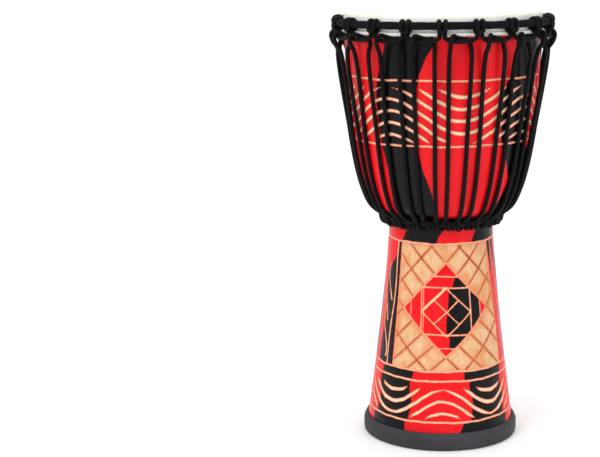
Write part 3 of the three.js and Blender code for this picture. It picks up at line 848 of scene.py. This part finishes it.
def head_outline():
    """The skin over the bearing edge, down outside the rim, and rolled round the flesh hoop."""
    under = RIM_HEIGHT + 0.3
    top = under + SKIN_THICKNESS
    roll = FLESH_ROD / 2 + 0.3
    outside = SKIN_INSIDE + SKIN_THICKNESS

    def around(reach, degrees):
        turn = math.radians(degrees)
        return (FLESH_RADIUS + reach * math.cos(turn), FLESH_HEIGHT + reach * math.sin(turn))

    inner = [(0.0, under), (40.0, under), (90.0, under), (RIM_RADIUS - EDGE_ROUNDING, under),
             (SKIN_INSIDE - 1.0, RIM_HEIGHT - 0.8), (SKIN_INSIDE, RIM_HEIGHT - 3.2), (SKIN_INSIDE, 584.0),
             (SKIN_INSIDE, FLESH_HEIGHT)]
    inner += [around(roll + SKIN_THICKNESS, a) for a in (225, 250, 275, 300, 325, 350, 15, 35)]
    inner += [around(roll, a) for a in (35, 0, 315, 270, 225)]
    inner += [(outside, FLESH_HEIGHT), (outside, 584.0), (outside, RIM_HEIGHT - 4.4),
              (outside - 0.5, RIM_HEIGHT - 1.2), (outside - 2.2, top - 0.5),
              (RIM_RADIUS - EDGE_ROUNDING - 2, top), (90.0, top), (40.0, top), (0.0, top)]
    return inner


def make_head():
    corners = np.array(head_outline())
    outline = []
    for a, b in zip(corners[:-1], corners[1:]):
        pieces = max(int(math.dist(a, b) / 6.0), 1)
        outline += [a + (b - a) * k / pieces for k in range(pieces)]
    outline = np.array(outline + [corners[-1]])
    columns = HITCHES * 24
    azimuths = azimuths_of(columns)
    points = turned_points(outline, azimuths)
    skirt = np.clip((RIM_HEIGHT - 6 - points[..., 2]) / 10, 0, 1)
    angle = np.radians(azimuths)[None, :]
    pleat = 0.35 * np.sin(HITCHES * 3 * angle + 0.6) + 0.25 * np.sin(HITCHES * 7 * angle + 1.9)
    sag = 0.7 * np.cos(HITCHES * angle)
    hem = np.clip((FLESH_HEIGHT + 4 - points[..., 2]) / 6, 0, 1)
    reach = np.hypot(points[..., 0], points[..., 1])
    scale = np.where(reach > 1, 1 + skirt * (0.22 + 0.22 * pleat) / np.maximum(reach, 1), 1.0)
    points[..., :2] *= scale[..., None]
    points[..., 2] += hem * (0.3 * sag + 0.3 * pleat)
    piece = piece_from("goat_skin_head", points,
                       grid_faces(len(outline), columns, False))
    # Field 'top' is 1 on the flat top of the head and 0 down its sides; the material uses it for painted
    # shade on the up-facing top, offsetting the overhead light
    add_field(piece, "top", np.clip((points[..., 2] - RIM_HEIGHT + 1.0) / 2, 0, 1))
    weld(piece)
    piece.data.materials.append(goat_skin())
    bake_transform(piece)
    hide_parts("drum_head")


def goat_skin():
    g = Graph("shaved_goat_skin")
    cloud, veins = g.noise(16.0, 5.0, 0.6), g.noise(42.0, 6.0, 0.65, (1.0, 1.0, 1.0), 1.5)
    pores = g.noise(700.0, 2.0)
    tone = g.mix(g.spread(cloud, 0.35, 0.68), srgb(255, 254, 250), srgb(250, 245, 236))
    tone = g.mix(g.spread(veins, 0.56, 0.74, 0.0, 0.35), tone, srgb(228, 214, 190))
    # Painted shade: the up-facing top of the head is mixed half-way towards grey
    tone = g.mix(g.spread(g.field("top"), 0.0, 1.0, 0.0, 0.5), tone, srgb(196, 194, 190))
    g.colour(g.mix(g.spread(pores, 0.66, 0.8, 0.0, 0.4), tone, srgb(196, 180, 160)))
    g.roughness(g.spread(cloud, 0.3, 0.7, 0.5, 0.66))
    g.fix("Subsurface Weight", 0.12)
    g.fix("Subsurface Radius", (0.004, 0.003, 0.002))
    g.bump(veins, 0.25, 0.0006)
    g.bump(pores, 0.3, 0.0002)
    return g.material


def make_crown_wrap():
    """Black cloth tape wound round the crown ring, each turn lying over the last."""
    turns, around, per_turn = 112, 26, 12
    columns = turns * per_turn
    azimuth = azimuths_of(columns)[:, None]
    angle = 2 * math.pi * np.arange(around)[None, :] / around
    lap = (azimuth / 360.0 * turns + angle / (2 * math.pi)) % 1.0
    raised = 0.34 * np.clip(lap * 5, 0, 1) * (1 - 0.7 * lap)
    turn = np.radians(azimuth)
    slack = 0.1 * np.sin(turn * 43 + 2 * angle) + 0.07 * np.sin(turn * 71 + angle)
    reach = CROWN_SECTION + raised + slack - 0.1
    radius = CROWN_RADIUS + reach * np.cos(angle)
    height = CROWN_HEIGHT + reach * np.sin(angle)
    points = np.stack([radius * np.sin(turn), -radius * np.cos(turn), height], -1)
    piece = piece_from("wound_cloth", points, grid_faces(columns, around)[:, ::-1])
    add_field(piece, "lap", lap)
    piece.data.materials.append(wound_cloth())
    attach(piece, "tuning_hoop")
    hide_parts("crown_ring_wrap")


def wound_cloth():
    g = Graph("woven_black_cloth")
    weave, cloud = g.noise(1500.0, 2.0), g.noise(90.0, 4.0)
    tone = g.mix(g.spread(cloud, 0.35, 0.7), srgb(5, 5, 5), srgb(13, 12, 12))
    g.colour(g.mix(g.spread(weave, 0.55, 0.75, 0.0, 0.5), tone, srgb(26, 24, 24)))
    g.fix("Roughness", 0.86)
    g.fix("Specular IOR Level", 0.15)
    g.bump(weave, 0.5, 0.0003)
    return g.material


def make_lower_ring():
    sides, columns = 24, 360
    angle = 2 * math.pi * np.arange(sides) / sides
    outline = np.stack([LOWER_RADIUS + LOWER_ROD / 2 * np.cos(angle),
                        LOWER_HEIGHT + LOWER_ROD / 2 * np.sin(angle)], 1)
    points = turned_points(outline, azimuths_of(columns))
    piece = piece_from("painted_lower_ring", points, grid_faces(sides, columns))
    piece.data.materials.append(black_enamel())
    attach(piece, "drum_body")
    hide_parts("lower_ring")


def black_enamel():
    g = Graph("black_enamel")
    cloud, fine = g.noise(60.0, 4.0), g.noise(600.0, 3.0)
    g.colour(g.mix(g.spread(cloud, 0.4, 0.7), srgb(5, 5, 6), srgb(13, 13, 15)))
    g.roughness(g.spread(fine, 0.3, 0.7, 0.4, 0.6))
    g.fix("Specular IOR Level", 0.2)
    g.bump(fine, 0.2, 0.0003)
    return g.material


def drawn_steel():
    """Bare steel of the rings that cloth and skin hide."""
    g = Graph("drawn_steel")
    scratches = g.noise(300.0, 4.0, 0.6, (1.0, 1.0, 8.0))
    g.colour(g.mix(g.spread(scratches, 0.35, 0.7), srgb(150, 152, 156), srgb(188, 190, 194)))
    g.fix("Metallic", 1.0)
    g.roughness(g.spread(scratches, 0.3, 0.7, 0.32, 0.5))
    g.bump(scratches, 0.2, 0.0002)
    return g.material


def dress_hidden_rings():
    steel = drawn_steel()
    for name in ("crown_ring", "flesh_hoop"):
        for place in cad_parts[name].material_slots:
            place.material = steel


# --- rope ---

def black_rope():
    """Braided polyester: two families of strands that pass over and under each other."""
    g = Graph("braided_black_rope")
    parts = g.node("ShaderNodeSeparateXYZ")
    g.feed(parts.inputs["Vector"], g.node("ShaderNodeUVMap", uv_map="braid").outputs["UV"])
    around = g.calc("MULTIPLY", parts.outputs["X"], 6.0)
    along = g.calc("MULTIPLY", parts.outputs["Y"], 1.15)
    one, other = g.calc("ADD", along, around), g.calc("SUBTRACT", along, around)
    odd = g.calc("MODULO", g.calc("ADD", g.calc("FLOOR", one), g.calc("FLOOR", other)), 2.0)
    across = g.blend(g.calc("ABSOLUTE", odd), one, other)
    hump = g.calc("SINE", g.calc("MULTIPLY", g.calc("FRACT", across), math.pi))
    fuzz = g.noise(1400.0, 2.0)
    worn = g.noise(70.0, 3.0)
    # Painted shade and highlight: the gaps between strands are darker and the strand crowns lighter,
    # following the same hump that the bump uses
    tone = g.mix(g.spread(hump, 0.2, 1.0), srgb(1, 1, 2), srgb(8, 8, 11))
    tone = g.mix(g.spread(worn, 0.45, 0.75, 0.0, 0.4), tone, srgb(19, 18, 22))
    g.colour(tone)
    g.roughness(g.spread(fuzz, 0.3, 0.7, 0.5, 0.72))
    g.fix("Specular IOR Level", 0.14)
    g.bump(hump, 0.75, 0.0007)
    g.bump(fuzz, 0.25, 0.0002)
    return g.material


def turn_about(radius, height, turn, share, degrees):
    """Points of a rope's turn about a ring; 0 degrees is outwards."""
    return [(share, radius + turn * math.cos(math.radians(a)), height + turn * math.sin(math.radians(a)))
            for a in degrees]


def upper_half_hitch():
    """Half of a cow hitch on the crown ring, from its middle to the middle of the next loop.

    Each point is (share of the pitch, radius, height).
    """
    front, under = CROWN_RADIUS + CROWN_TURN, CROWN_HEIGHT - CROWN_TURN
    rim_share = ROPE / (math.radians(PITCH) * UPPER_LOOP)
    return [
        (0.0, front - 0.02 * ROPE, under - 0.36 * ROPE),
        (0.5 * rim_share, front + 0.02 * ROPE, under - 0.1 * ROPE),
        *turn_about(CROWN_RADIUS, CROWN_HEIGHT, CROWN_TURN, 0.72 * rim_share,
                    [-28, 10, 50, 90, 130, 170, 205]),
        (0.66 * rim_share, CROWN_RADIUS - 0.7 * ROPE, under - 0.1 * ROPE),
        (0.56 * rim_share, CROWN_RADIUS + 0.06 * ROPE, under - 0.7 * ROPE),
        (0.6 * rim_share, UPPER_LOOP - 0.04 * ROPE, under - 1.5 * ROPE),
        (1.3 * rim_share, UPPER_LOOP, GARLAND_HEIGHT + 0.36 * ROPE),
        (2.3 * rim_share, UPPER_LOOP, GARLAND_HEIGHT + 0.06 * ROPE),
        (0.5, UPPER_LOOP, GARLAND_HEIGHT),
    ]


def lower_half_hitch():
    """The same hitch upside down on the lower ring, where the loops lie close against it."""
    over = LOWER_HEIGHT + LOWER_TURN
    return [
        (0.0, LOWER_RADIUS + LOWER_TURN + 0.12 * ROPE, LOWER_HEIGHT + 0.56 * ROPE),
        *turn_about(LOWER_RADIUS, LOWER_HEIGHT, LOWER_TURN, 0.125,
                    [22.5, -22.5, -67.5, -112.5, -157.5, -202.5]),
        (0.12, LOWER_RADIUS - 0.16 * ROPE, over + 0.05 * ROPE),
        (0.15, LOWER_RADIUS + 0.9 * ROPE, over + 0.05 * ROPE),
        (0.28, LOWER_LOOP, LOWER_HEIGHT + 0.5 * ROPE),
        (0.5, LOWER_LOOP, LOWER_HEIGHT + 0.44 * ROPE),
    ]


def cradle_line(half, first_azimuth):
    """Hitches all round a ring, from half of one."""
    whole = [(-share, radius, height) for share, radius, height in half[-2:0:-1]] + list(half)
    return np.array([polar(first_azimuth + (k + share) * PITCH, 0.0, radius, height)
                     for k in range(HITCHES) for share, radius, height in whole])


def run_down():
    """A run of the lacing from its top down, as (radius, height): straight, then lying on the bowl."""
    off = OUTSIDE - (ROPE_RADIUS + 0.1) * inwards(OUTSIDE)
    rows = [np.argmin(np.abs(OUTSIDE[:, 1] - height))
            for height in (436.0, 418.0, 400.0, 383.0, 366.6, 350.0, 338.0, 330.0, 325.3)]
    return [(CROWN_RADIUS - 0.6, GARLAND_HEIGHT - 18.0), *(tuple(off[row]) for row in rows)]


def lacing_period(index):
    """One rise, one pass over an upper loop, one fall and one pass under a lower loop."""
    azimuth, beyond = index * PITCH, (index + 1) * PITCH
    beside, over, turn = 9.0, ROPE + 0.05, LOWER_TURN
    down = run_down()

    def spread(radius, height):
        share = (height - WAIST_HEIGHT) / (GARLAND_HEIGHT - WAIST_HEIGHT)
        return (0.066 * share + 0.069 * (1 - share)) * radius

    rising = [polar(azimuth, spread(r, h), r, h) for r, h in reversed(down)]
    falling = [polar(beyond, -spread(r, h), r, h) for r, h in down]
    top = [
        polar(azimuth, beside + 0.31 * ROPE, UPPER_LOOP + over - 0.36 * ROPE, GARLAND_HEIGHT - 1.22 * ROPE),
        polar(azimuth, beside + 0.42 * ROPE, UPPER_LOOP + over, GARLAND_HEIGHT + 0.35 * ROPE),
        polar(azimuth, beside + 0.93 * ROPE, UPPER_LOOP + 0.36 * ROPE, GARLAND_HEIGHT + 1.2 * ROPE),
        polar(azimuth, beside + 1.67 * ROPE, UPPER_LOOP - over + 0.3 * ROPE, GARLAND_HEIGHT + 0.8 * ROPE),
        polar(beyond, -beside - 0.36 * ROPE, UPPER_LOOP - over, GARLAND_HEIGHT - 0.13 * ROPE),
        polar(beyond, -beside - 0.09 * ROPE, UPPER_LOOP - over, GARLAND_HEIGHT - 1.22 * ROPE),
    ]
    under = [polar(beyond + share * PITCH, 0.0, radius, height) for share, radius, height in (
        (-0.2, LOWER_LOOP + 0.65 * ROPE, LOWER_HEIGHT + 1.0 * ROPE),
        (-0.165, LOWER_LOOP + 0.35 * ROPE, LOWER_HEIGHT - 0.04 * ROPE),
        (-0.13, LOWER_RADIUS + 0.5 * ROPE, LOWER_HEIGHT - turn - 0.05 * ROPE),
        (0.13, LOWER_RADIUS - 0.7 * ROPE, LOWER_HEIGHT - turn + 0.12 * ROPE),
        (0.13, LOWER_RADIUS - turn, LOWER_HEIGHT - 0.2 * ROPE),
        (0.13, LOWER_RADIUS - turn + 0.1 * ROPE, LOWER_HEIGHT + 0.5 * ROPE),
        (0.13, LOWER_RADIUS - 0.3 * ROPE, LOWER_HEIGHT + turn),
        (0.14, LOWER_RADIUS + 0.89 * ROPE, LOWER_HEIGHT + turn + 0.3 * ROPE),
    )]
    return rising, top, falling, under


KNOT_INDEX = math.ceil(HITCHES / 2)


def lacing_line():
    points = list(lacing_period(KNOT_INDEX - 1)[3][3:])
    for k in range(HITCHES):
        rising, top, falling, under = lacing_period(KNOT_INDEX + k)
        points += rising + top + falling
        points += under[:3] if k == HITCHES - 1 else under
    return np.array(points)


def make_ropes():
    material = black_rope()
    upper_line = smooth_line(cradle_line(upper_half_hitch(), 0.0), 1.5, True)
    lower_line = smooth_line(cradle_line(lower_half_hitch(), PITCH / 2), 1.5, True)
    upper = rope("upper_rope_hitches", upper_line, True)
    lower = rope("lower_rope_hitches", lower_line, True)
    lacing = rope("rope_lacing", smooth_line(lacing_line(), 2.0), False)
    knot = rope("rope_end_knot", smooth_line(knot_line(), 1.0), False, ROPE_RADIUS - 0.05)
    for piece, body, node in (
        (upper, "tuning_hoop", "upper_cradle_rope"), (lower, "drum_body", "lower_cradle_rope"),
        (lacing, "drum_body", "lacing_rope"), (knot, "drum_body", "lacing_knot"),
    ):
        piece.data.materials.append(material)
        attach(piece, body)
        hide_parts(node)
    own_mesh(lacing)


def knot_line():
    """The lacing's two ends tied together: two round turns with both tails pulled through."""
    azimuth = KNOT_INDEX * PITCH
    middle, drop = LOWER_RADIUS + 1.0, LOWER_HEIGHT - 12.0
    points = [polar(azimuth, -4.2, LOWER_RADIUS + 4.2, LOWER_HEIGHT - 7.0),
              polar(azimuth, -5.5, middle + 3.4, drop + 1.5)]
    turns, reach = 2, 3.6
    for k in range(8 * turns + 1):
        angle = math.radians(90 + 45 * k)
        shift = -4.4 + 8.8 * k / (8 * turns)
        points.append(polar(azimuth, shift, middle + 0.7 * reach * math.cos(angle),
                            drop + reach * math.sin(angle)))
    points += [polar(azimuth, 4.6, middle - 3.0, drop + 5.0),
               polar(azimuth, 4.0, LOWER_RADIUS - 3.9, LOWER_HEIGHT - 6.0)]
    return np.array(points)


# --- everything ---

make_camera()
make_floor()
make_lights()
make_shell()
make_foot_ring()
make_head()
make_crown_wrap()
make_lower_ring()
dress_hidden_rings()
make_ropes()
